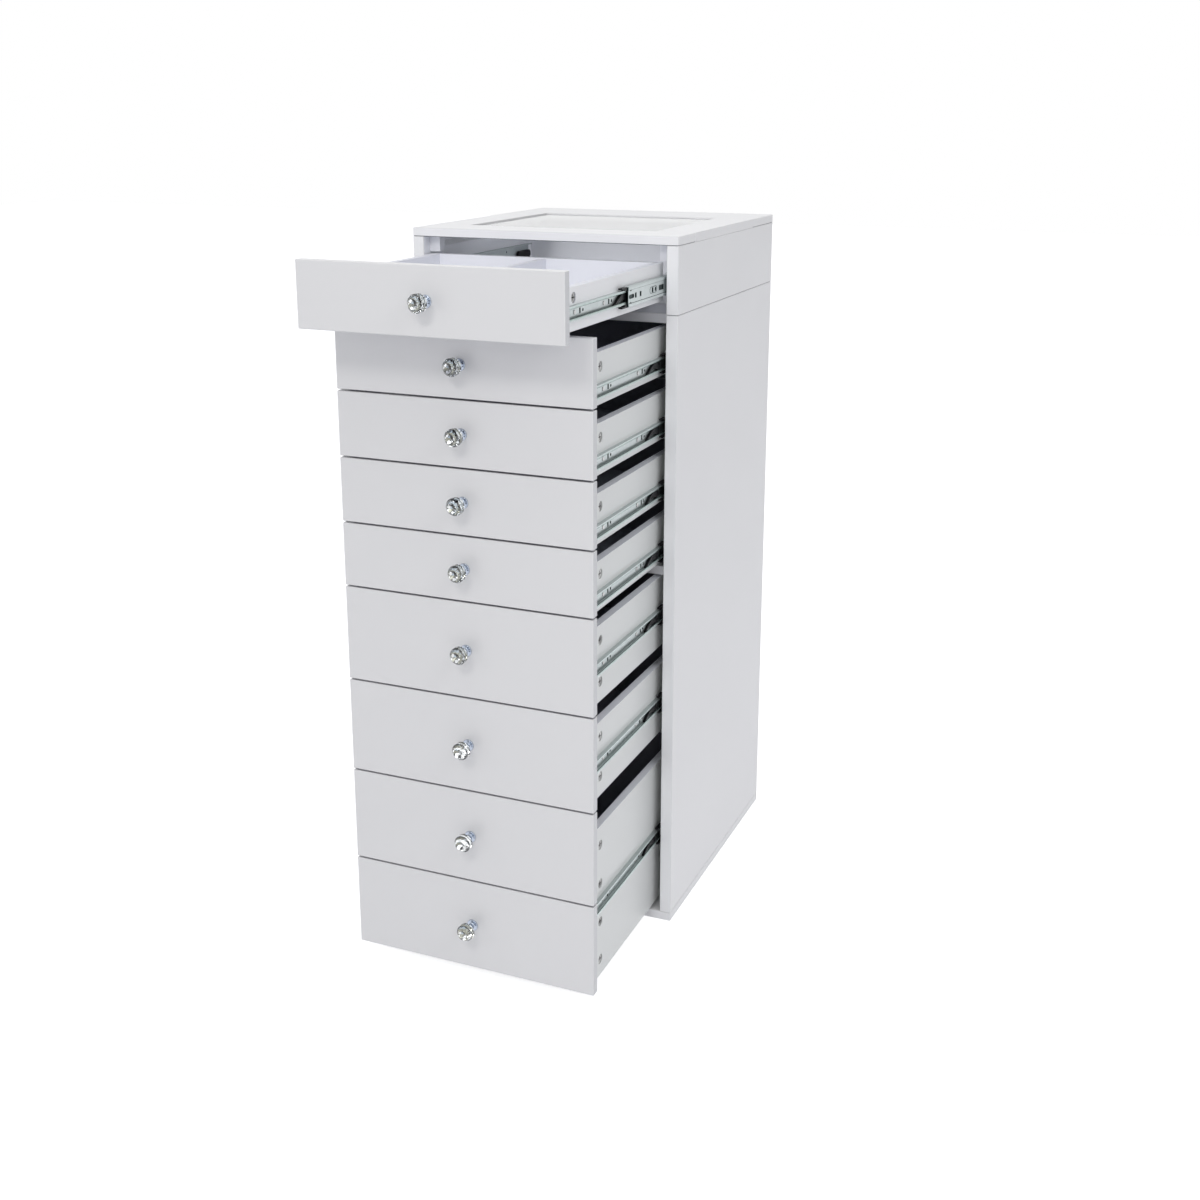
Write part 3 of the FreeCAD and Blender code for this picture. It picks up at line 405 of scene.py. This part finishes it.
BALLS = ball_row()

# Painted reflections on the crystal's back facets, and the share that each has of the strays
PAINTED_REFLECTIONS = [
    painted_reflection("painted_reflection_silver", (0.28, 0.31, 0.33), (0.54, 0.58, 0.60)),
    painted_reflection("painted_reflection_white", (0.80, 0.82, 0.84), (0.96, 0.97, 0.98)),
    painted_reflection("painted_reflection_dark", (0.008, 0.008, 0.010), (0.06, 0.06, 0.065)),
    painted_reflection("painted_reflection_olive", (0.12, 0.12, 0.10), (0.34, 0.34, 0.29)),
    painted_reflection("painted_reflection_blue", (0.18, 0.22, 0.27), (0.44, 0.51, 0.58)),
]
REFLECTION_SHARES = (0.24, 0.44, 0.20, 0.06, 0.06)
# The painted reflection of each sector, counter-clockwise from the right, and the share of facets
# that stray
REFLECTION_SECTORS = (1, 0, 2, 3, 1, 1)
REFLECTION_STRAYS = 0.45


# Carried-over nodes

def islands(mesh):
    """The number of the solid that each face belongs to, and each solid's box."""
    co = np.empty(len(mesh.vertices) * 3)
    mesh.vertices.foreach_get("co", co)
    co = co.reshape(-1, 3)
    # vertices at the same place, to the micrometre, count as one
    keys = {}
    owner = np.empty(len(co), int)
    for index, point in enumerate(np.round(co * 1e6).astype(int)):
        owner[index] = keys.setdefault(tuple(point), len(keys))
    parent = list(range(len(keys)))

    def root(i):
        while parent[i] != i:
            parent[i] = parent[parent[i]]
            i = parent[i]
        return i

    for polygon in mesh.polygons:
        first = root(owner[polygon.vertices[0]])
        for vertex in polygon.vertices[1:]:
            other = root(owner[vertex])
            if other != first:
                parent[other] = first
    labels = np.array([root(i) for i in owner])
    boxes = {}
    for label in np.unique(labels):
        points = co[labels == label]
        boxes[label] = (points.min(0), points.max(0))
    return [labels[p.vertices[0]] for p in mesh.polygons], boxes


def dress(node, choose):
    """Gives each face of a node the material that choose names for its solid's size, its place
    in the solid and its normal."""
    mesh = nodes[node].data
    labels, boxes = islands(mesh)
    order = []
    indices = []
    for polygon, label in zip(mesh.polygons, labels):
        low, high = boxes[label]
        material = choose(high - low, Vector(polygon.center) - Vector(low), polygon.normal)
        if material not in order:
            order.append(material)
        indices.append(order.index(material))
    mesh.materials.clear()
    for material in order:
        mesh.materials.append(material)
    mesh.polygons.foreach_set("material_index", indices)


def faced(node, material, *others):
    """Gives a node one material, and other materials to the faces that pass their tests."""
    mesh = nodes[node].data
    mesh.materials.clear()
    mesh.materials.append(material)
    for other, _ in others:
        mesh.materials.append(other)
    for polygon in mesh.polygons:
        for index, (_, test) in enumerate(others, 1):
            if test(polygon.normal, polygon.center):
                polygon.material_index = index
                break


def facing(axis, way, least=0.95):
    """A test for faces that look along an axis: way is 1 or -1, or 0 for both."""
    def test(normal, place):
        return (abs(normal[axis]) if way == 0 else normal[axis] * way) > least
    return test


def eased_over(z_joint):
    """A test for the eased edges that look down onto a joint."""
    def test(normal, place):
        return 0.3 < -normal.z < 0.95 and abs(place.z - z_joint) < SEAM_REACH
    return test


def outmost(axis, limit):
    """A test for faces that look along an axis and lie at least as far out as a limit."""
    def test(normal, place):
        return abs(normal[axis]) > 0.95 and abs(place[axis]) > limit
    return test


# The walls of the slides' holes get painted shade
def in_hole(size, place, normal, reach):
    """Whether a face of a section is the wall of a hole in its back."""
    between_ends = HOLE_MARGIN < place.y < size[1] - HOLE_MARGIN
    return between_ends and abs(normal.x) < 0.5 and abs(place.z - size[2] / 2) < reach


def hardware(size, place, normal):
    """A drawer section, a release lever, a screw, or a cam lock whose sides get painted shade."""
    if size[1] > DRAWER_SECTION_LEAST:
        return SLIDE_SHADE if in_hole(size, place, normal, DRAWER_HOLES) else ZINC
    if size[1] > LEVER_LEAST:
        return BLACK
    if size[1] < SCREW_MOST:
        return NICKEL
    # a cam lock's sides are black, painted shade in its recess
    at_end = abs(place.x) < CAM_FACE or abs(place.x - size[0]) < CAM_FACE
    return CAM_METAL if at_end else BLACK


def middle_parts(size, place, normal):
    """A middle section with its end stops, or one of its ball rows."""
    if size[1] < SECTION_LEAST:
        return BLACK if size[1] < STOP_MOST else BALLS
    if place.y < STOP_REACH:
        return BLACK
    return SLIDE_SHADE if in_hole(size, place, normal, MIDDLE_HOLES) else ZINC


def case_parts(size, place, normal):
    """A case section, its bumper or its screw."""
    if size[1] > SECTION_LEAST:
        return SLIDE_SHADE if in_hole(size, place, normal, CASE_HOLES) else ZINC
    return BLACK if size[1] > BUMPER_LEAST else NICKEL


def light_parts(size, place, normal):
    """A diffuser, or the strip behind it."""
    return DIFFUSER if size[2] > DIFFUSER_LEAST else STRIP


# Faces that look to the front get the brighter copy of the laminate, painted light
FRONT_PAINTED_LIGHT = (FRONT_LIGHT, facing(1, -1))
# the eased edges that look down onto the two joints get painted shade
CASE_JOINT_SHADE = (JOINT_SHADE, eased_over(CASE_JOINT))
FRAME_JOINT_SHADE = (JOINT_SHADE, eased_over(FRAME_JOINT))
for name in ("base_panel", "lower_side_left", "lower_side_right", "lower_rails"):
    faced(name, BOARD, FRONT_PAINTED_LIGHT)
# the inner faces of the upper sides get the brighter bluish copy of the laminate, painted light
for name, inwards in (("upper_side_left", 1), ("upper_side_right", -1)):
    faced(name, BOARD, CASE_JOINT_SHADE, (LIT_INSIDE, facing(0, inwards)), FRONT_PAINTED_LIGHT)
# the top frame's upper faces get a brighter copy of the laminate, painted light
faced("top_frame", BOARD, FRAME_JOINT_SHADE, FRONT_PAINTED_LIGHT, (LIT_LAMINATE, facing(2, 1)))
# the back panels and the divider get the darker bluish copy of the laminate, painted shade
for name in ("lower_back_panel", "upper_rear_panel", "drawer_1_divider"):
    faced(name, SHADED_INSIDE)
# the display's back board and floor get bluish copies of the laminate, painted shade
faced("display_back_board", SHADED_DISPLAY_BACK)
faced("upper_floor", SHADED_DISPLAY_FLOOR)
faced("light_rails", LIT_INSIDE)
faced("glass_pane", PANE)
faced("joining_bolts", NICKEL)
faced("light_supply", DRIVER)
dress("light_strips", light_parts)
dress("case_slides", case_parts)
for k in DRAWERS:
    _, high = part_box(f"drawer_{k}_box")
    if k == 1:
        # the top drawer's outer sides and front-facing faces get brighter copies of the laminate,
        # painted light
        faced("drawer_1_box", SHADED_INSIDE, (LIT_LAMINATE, outmost(0, high.x - 0.001)), (LIT_INSIDE, facing(1, -1)))
    else:
        # the lower drawers' boxes get the darker copy, painted shade, and their walls' top faces a
        # brighter one, painted light
        faced(f"drawer_{k}_box", SHADED_WALL, (LIT_WALL_TOP, outmost(2, high.z - 0.001)))
    dress(f"drawer_{k}_slides_and_cams", hardware)
    dress(f"middle_slides_{k}", middle_parts)
for name in nodes:
    if "_front" in name:
        # the fronts' side faces get a darker copy of the laminate, painted shade
        edges = [(SHADED_FRONT_SIDES, facing(0, 0))]
        # the undersides that look down into a gap between two fronts get painted shade, which
        # darkens the gap
        if name not in ("drawer_1_front", "drawer_8_front_lower"):
            edges.append((SHADED_UNDERSIDE, facing(2, -1, 0.5)))
        faced(name, BOARD, *edges)
nodes["glass_pane"].visible_shadow = False


# Building

def ring_points(radius, depth, count, turn=0.0):
    """Points of a ring about a knob's axis, which runs out along -Y."""
    return [
        (radius * math.cos(turn + 2 * math.pi * i / count), -depth,
         radius * math.sin(turn + 2 * math.pi * i / count))
        for i in range(count)
    ]


def bridge(mesh, near, far, index=0):
    """Faces of one material between two rings of vertices. A ring of one vertex is a tip."""
    for i in range(max(len(near), len(far))):
        after = i + 1
        corners = (near[i % len(near)], near[after % len(near)],
                   far[after % len(far)], far[i % len(far)])
        mesh.faces.new(list(dict.fromkeys(corners))).material_index = index


def to_data(mesh, name, materials):
    """The built mesh as mesh data with its materials."""
    data = bpy.data.meshes.new(name)
    mesh.to_mesh(data)
    mesh.free()
    for material in materials:
        data.materials.append(material)
    return data


def smoothed(mesh, name, materials, sharp):
    """The built mesh as smooth mesh data, with the edges sharp that bend more than an angle."""
    bmesh.ops.recalc_face_normals(mesh, faces=mesh.faces)
    data = to_data(mesh, name, materials)
    data.shade_smooth()
    data.set_sharp_from_angle(angle=math.radians(sharp))
    return data


def linked(name, data):
    """A new object in the scene."""
    item = bpy.data.objects.new(name, data)
    bpy.context.scene.collection.objects.link(item)
    return item


def add_piece(name, data):
    """A new piece of the unit in the scene, with the materials of its mesh data."""
    piece = linked(name, data)
    return piece


# Knobs

def on_facet(near, far, radius, half_turn):
    """The depth at which a kite facet between two rings meets its neighbour."""
    share = (radius * math.cos(half_turn) - near[0]) / (far[0] - near[0])
    return near[1] + share * (far[1] - near[1])


def half_cut(mesh, near, far, middle_share, tip=None):
    """The facets of one half of a brilliant, between its end and its girdle: triangles and kites.
    The end is flat, or a star round a point at the depth tip."""
    sides = CRYSTAL_SIDES
    half = math.pi / sides
    middle = near[0] + middle_share * (far[0] - near[0])
    depth = on_facet(near, far, middle, half)
    end = [mesh.verts.new(p) for p in ring_points(near[0], near[1], sides)]
    waist = [mesh.verts.new(p) for p in ring_points(middle, depth, sides, half)]
    girdle = [mesh.verts.new(p) for p in ring_points(far[0], far[1], 2 * sides)]
    made = []
    if tip is None:
        made.append(mesh.faces.new(end))
    else:
        point = mesh.verts.new((0, -tip, 0))
    for i in range(sides):
        after = (i + 1) % sides
        if tip is not None:
            made.append(mesh.faces.new((end[i], end[after], point)))
        for corners in (
            (end[i], end[after], waist[i]),
            (end[i], waist[i], girdle[2 * i], waist[i - 1]),
            (waist[i], girdle[2 * i], girdle[2 * i + 1]),
            (waist[i], girdle[2 * i + 1], girdle[2 * after]),
        ):
            made.append(mesh.faces.new(corners))
    return made, girdle


def crystal_mesh():
    """A brilliant-cut crystal whose back facets are tinted mirrors, painted reflections."""
    mesh = bmesh.new()
    table = (TABLE_RADIUS, TABLE_DEPTH)
    seat = (SEAT_RADIUS, SEAT_DEPTH)
    upper_edge = (GIRDLE_RADIUS, GIRDLE_DEPTH + GIRDLE_BAND)
    lower_edge = (GIRDLE_RADIUS, GIRDLE_DEPTH)
    _, upper = half_cut(mesh, table, upper_edge, CROWN_SHARE)
    back, lower = half_cut(mesh, seat, lower_edge, BACK_SHARE, SEAT_TIP)
    bridge(mesh, upper, lower)
    bmesh.ops.recalc_face_normals(mesh, faces=mesh.faces)
    for i, face in enumerate(back):
        reflection_index = REFLECTION_SECTORS[i * len(REFLECTION_SECTORS) // len(back)]
        if rng.random() < REFLECTION_STRAYS:
            reflection_index = rng.choices(range(len(PAINTED_REFLECTIONS)), REFLECTION_SHARES)[0]
        face.material_index = 1 + reflection_index
    return to_data(mesh, "crystal", (CRYSTAL, *PAINTED_REFLECTIONS))


def turned_mesh(name, profile, steps, material):
    """A shape turned about the knob's axis from (radius, depth) points."""
    mesh = bmesh.new()
    rings = []
    for radius, depth in profile:
        points = ring_points(radius, depth, steps) if radius else [(0, -depth, 0)]
        rings.append([mesh.verts.new(p) for p in points])
    for near, far in zip(rings, rings[1:]):
        bridge(mesh, near, far)
    return smoothed(mesh, name, (material,), TURNED_SHARP)


def base_profile():
    """The chrome base: a beaded flange, a waist and the cup that holds the crystal."""
    points = [(0, 0), (0.0088, 0), (0.0090, 0.0002), (0.0090, 0.0012)]
    for step in range(7):
        angle = math.pi / 2 * step / 6
        points.append((0.0078 + 0.0012 * math.cos(angle), 0.0012 + 0.0011 * math.sin(angle)))
    points += [(0.0066, 0.0023), (0.0062, 0.0026)]
    for step in range(1, 9):
        angle = math.pi / 2 * step / 8
        points.append((0.0062 - 0.0021 * math.sin(angle), 0.0047 - 0.0021 * math.cos(angle)))
    points += [(0.0041, 0.0062), (0.0043, 0.0072), (0.0049, 0.0084), (0.0059, 0.0098),
               (0.0068, 0.0108), (0.0070, 0.0114), (0.0069, 0.0119), (0.0066, 0.01215),
               (0.0063, 0.0121), (0.0062, 0.0119), (0, 0.0119)]
    return points


def screw_profile():
    """The knob's screw, from its rounded head inside the drawer to its tip in the base."""
    return [(0, -0.0174), (0.0017, -0.0173), (0.0029, -0.0168), (0.0036, -0.0161),
            (0.0038, -0.0154), (0.0038, -0.0150), (0.0019, -0.0150), (0.0019, 0.0061),
            (0.0014, 0.0065), (0, 0.0065)]


crystal_data = crystal_mesh()
base_data = turned_mesh("knob_base", base_profile(), BASE_STEPS, CHROME)
screw_data = turned_mesh("knob_screw", screw_profile(), SCREW_STEPS, NICKEL)
for k in DRAWERS:
    for knob in KNOBS[k]:
        low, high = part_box(knob)
        front_low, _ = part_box(knob.replace("knob", "front"))
        centre = Vector((0, front_low.y, (low.z + high.z) / 2))
        crystal = add_piece(f"{knob}_crystal", crystal_data)
        crystal.location = centre
        crystal.rotation_euler = (0, rng.uniform(-KNOB_TURN, KNOB_TURN), 0)
        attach(crystal, f"drawer_{k}")
        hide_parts(knob)
        for part, data in (("base", base_data), ("screw", screw_data)):
            piece = add_piece(f"{knob}_{part}", data)
            piece.location = centre
            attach(piece, f"drawer_{k}")


# Charcoal linings

def rounded_outline(x_half, y_low, y_high, corner, steps=5):
    """A rectangle's outline with rounded corners, counter-clockwise from the front right."""
    points = []
    centres = [
        (x_half - corner, y_low + corner, -90), (x_half - corner, y_high - corner, 0),
        (-x_half + corner, y_high - corner, 90), (-x_half + corner, y_low + corner, 180),
    ]
    for x, y, start in centres:
        for step in range(steps + 1):
            angle = math.radians(start + 90 * step / steps)
            points.append((x + corner * math.cos(angle), y + corner * math.sin(angle)))
    return points


def lining_mesh(name, x_half, y_low, y_high, z_low, z_high):
    """An open tray of thin flocked board: floor and four walls, folded round at the corners."""
    t = LINING_THICK
    # inset and height of each ring, up the outside, over the rim and down the inside
    stages = [
        (0.0, z_low), (0.0, z_high - t / 3), (t / 3, z_high), (2 * t / 3, z_high),
        (t, z_high - t / 3), (t, z_low + 3.5 * t), (1.3 * t, z_low + 2.2 * t),
        (2.2 * t, z_low + 1.3 * t), (3.5 * t, z_low + t),
    ]
    mesh = bmesh.new()
    rings = []
    for inset, z in stages:
        outline = rounded_outline(x_half - inset, y_low + inset, y_high - inset, LINING_CORNER)
        rings.append([mesh.verts.new((x, y, z)) for x, y in outline])
    for near, far in zip(rings, rings[1:]):
        bridge(mesh, near, far)
    mesh.faces.new(rings[0])
    mesh.faces.new(rings[-1])
    return smoothed(mesh, name, (FLOCK,), LINING_SHARP)


for k in LINED_DRAWERS:
    low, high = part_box(f"drawer_{k}_box")
    wall_inside = WALL_THICK + LINING_GAP
    data = lining_mesh(
        f"drawer_{k}_lining", high.x - wall_inside, low.y + LINING_START, high.y - wall_inside,
        low.z + FLOOR_TOP + LINING_GAP, high.z - LINING_DROP)
    lining = add_piece(f"drawer_{k}_lining", data)
    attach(lining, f"drawer_{k}")


# Slide relief

def risen(outline, z, up):
    """A section's outline about the height z, upright or turned over."""
    return [(x, z + up * height) for x, height in outline]


def strip(mesh, outline, y_low, y_high, side, dark_edges=()):
    """A bar along Y with the given (distance from the middle, height) outline. The sides on the
    chosen edges of the outline get painted shade."""
    ends = [[mesh.verts.new((side * x, y, z)) for x, z in outline] for y in (y_low, y_high)]
    for end in ends:
        mesh.faces.new(end)
    for i in range(len(outline)):
        after = (i + 1) % len(outline)
        face = mesh.faces.new((ends[0][i], ends[0][after], ends[1][after], ends[1][i]))
        face.material_index = 1 if i in dark_edges else 0


def shade(mesh, x_span, z, y_low, y_high, side):
    """A thin strip of painted shade behind a section's holes."""
    outline = [(x_span[0], z - SHADE_HALF), (x_span[0], z + SHADE_HALF),
               (x_span[1], z + SHADE_HALF), (x_span[1], z - SHADE_HALF)]
    strip(mesh, outline, y_low, y_high, side, range(4))


def dome(mesh, x, y, z, side, steps=12):
    """The low black head of a stop's pin, which faces outwards."""
    rings = []
    for share, out in ((1.0, 0.0), (0.86, 0.55), (0.5, 0.9)):
        ring = []
        for i in range(steps):
            angle = 2 * math.pi * i / steps
            ring.append(mesh.verts.new((
                side * (x + PIN_RISE * out), y + share * PIN_RADIUS * math.cos(angle),
                z + share * PIN_RADIUS * math.sin(angle))))
        rings.append(ring)
    rings.append([mesh.verts.new((side * (x + PIN_RISE), y, z))])
    for near, far in zip(rings, rings[1:]):
        bridge(mesh, near, far, 2)
    mesh.faces.new(rings[0]).material_index = 2


def oval_ring(mesh, x, y, z, side, steps=10):
    """A raised line round an oval, in painted shade."""
    straight = (OVAL_LENGTH - OVAL_HEIGHT) / 2
    loops = []
    for share, rise in ((0.0, 0.0), (0.3, OVAL_RISE), (0.7, OVAL_RISE), (1.0, 0.0)):
        radius = OVAL_HEIGHT / 2 - OVAL_WIDTH * share
        loop = []
        for end in (1, -1):
            for i in range(steps + 1):
                angle = math.pi * i / steps - math.pi / 2
                loop.append(mesh.verts.new((
                    side * (x + rise), y + end * (straight + radius * math.cos(angle)),
                    z + end * radius * math.sin(angle))))
        loops.append(loop)
    for near, far in zip(loops, loops[1:] + loops[:1]):
        bridge(mesh, near, far, 1)


for k in DRAWERS:
    low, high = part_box(f"middle_slides_{k}")
    z_middle = (low.z + high.z) / 2
    front = low.y + STOP_REACH + RELIEF_MARGIN
    relief = bmesh.new()
    for side in (1, -1):
        for up in (1, -1):
            # each raceway's steep wall gets painted shade
            strip(
                relief, risen(RACEWAY, z_middle, up), front + RELIEF_MARGIN,
                high.y - RELIEF_MARGIN, side, (0,))
            dome(relief, MIDDLE_BACK, front + PIN_OFFSET, z_middle + up * PIN_HEIGHT, side)
        shade(relief, MIDDLE_SHADE, z_middle, front + SHADE_MARGIN, high.y - SHADE_MARGIN, side)
        oval_ring(relief, MIDDLE_BACK, front + OVAL_OFFSET, z_middle, side)
    data = smoothed(relief, "raceways", (ZINC, SLIDE_SHADE, BLACK), RELIEF_SHARP)
    raceways = add_piece(f"middle_{k}_raceways", data)
    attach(raceways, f"middle_{k}")
    low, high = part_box(f"drawer_{k}_slides_and_cams")
    curls = bmesh.new()
    for side in (1, -1):
        for up in (1, -1):
            # the curl of each lip gets painted shade
            strip(
                curls, risen(LIP, z_middle, up), low.y + RELIEF_MARGIN, high.y - RELIEF_MARGIN,
                side, (2, 3))
        shade(curls, DRAWER_SHADE, z_middle, low.y + SHADE_MARGIN, high.y - SHADE_MARGIN, side)
    data = smoothed(curls, "slide_lips", (SHADED_LIP_ZINC, SLIDE_SHADE), RELIEF_SHARP)
    lips = add_piece(f"drawer_{k}_slide_lips", data)
    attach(lips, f"drawer_{k}")


# Floor, light and camera

def stage_floor():
    """A pale floor whose lit part looks white to the camera, with the unit's soft shadow on it."""
    material, tree, shader, place = new_material("studio_floor", (0.79, 0.79, 0.82), 0.6)
    tone = noise(tree, place, 0.6, 2.0)
    tones = [(0.3, (0.782, 0.784, 0.812)), (0.7, (0.798, 0.800, 0.828))]
    tree.links.new(ramp(tree, tone, tones), shader.inputs["Base Color"])
    shader.inputs["Emission Color"].default_value = (1, 1, 1, 1)
    glow = span(tree, direct_rays(tree), 0.0, FLOOR_GLOW, 0.0, 1.0)
    tree.links.new(glow, shader.inputs["Emission Strength"])
    mesh = bmesh.new()
    bmesh.ops.create_grid(mesh, x_segments=8, y_segments=8, size=FLOOR_SIZE)
    floor = linked("floor", to_data(mesh, "floor", (material,)))
    floor.location = (0, 0, -FLOOR_DROP)
    floor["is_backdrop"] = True


def studio_world():
    """Even pale light from all round, and a white background for camera, gloss and glass."""
    world = bpy.data.worlds.new("studio")
    bpy.context.scene.world = world
    world.use_nodes = True
    tree = world.node_tree
    background = tree.nodes["Background"]
    seen = direct_rays(tree)
    strength = span(tree, seen, WORLD_LIGHT, 1.0, 0.0, 1.0)
    tree.links.new(strength, background.inputs["Strength"])
    mix = tree.nodes.new("ShaderNodeMix")
    mix.data_type = "RGBA"
    mix.inputs["A"].default_value = (0.96, 0.97, 1.0, 1.0)
    mix.inputs["B"].default_value = (1.0, 1.0, 1.0, 1.0)
    tree.links.new(seen, mix.inputs["Factor"])
    tree.links.new(mix.outputs["Result"], background.inputs["Color"])


def softbox(name, place, target, size, power, colour):
    """A rectangular lamp that looks at a point."""
    lamp = bpy.data.lights.new(name, "AREA")
    lamp.shape = "RECTANGLE"
    lamp.size, lamp.size_y = size
    lamp.energy = power
    lamp.color = colour
    holder = linked(name, lamp)
    holder.location = place
    aim = Vector(target) - Vector(place)
    holder.rotation_euler = aim.to_track_quat("-Z", "Y").to_euler()


stage_floor()
studio_world()
for lamp in LAMPS:
    softbox(*lamp)

camera_data = bpy.data.cameras.new("camera")
camera_data.sensor_width = 36.0
camera_data.lens = CAMERA_LENS
camera_data.shift_x, camera_data.shift_y = CAMERA_SHIFT
camera = linked("camera", camera_data)
camera.location = CAMERA_PLACE
camera.rotation_euler = (math.radians(90 - CAMERA_PITCH), 0, math.radians(-CAMERA_YAW))
bpy.context.scene.camera = camera

bpy.context.scene.view_settings.view_transform = "Standard"

low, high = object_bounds()
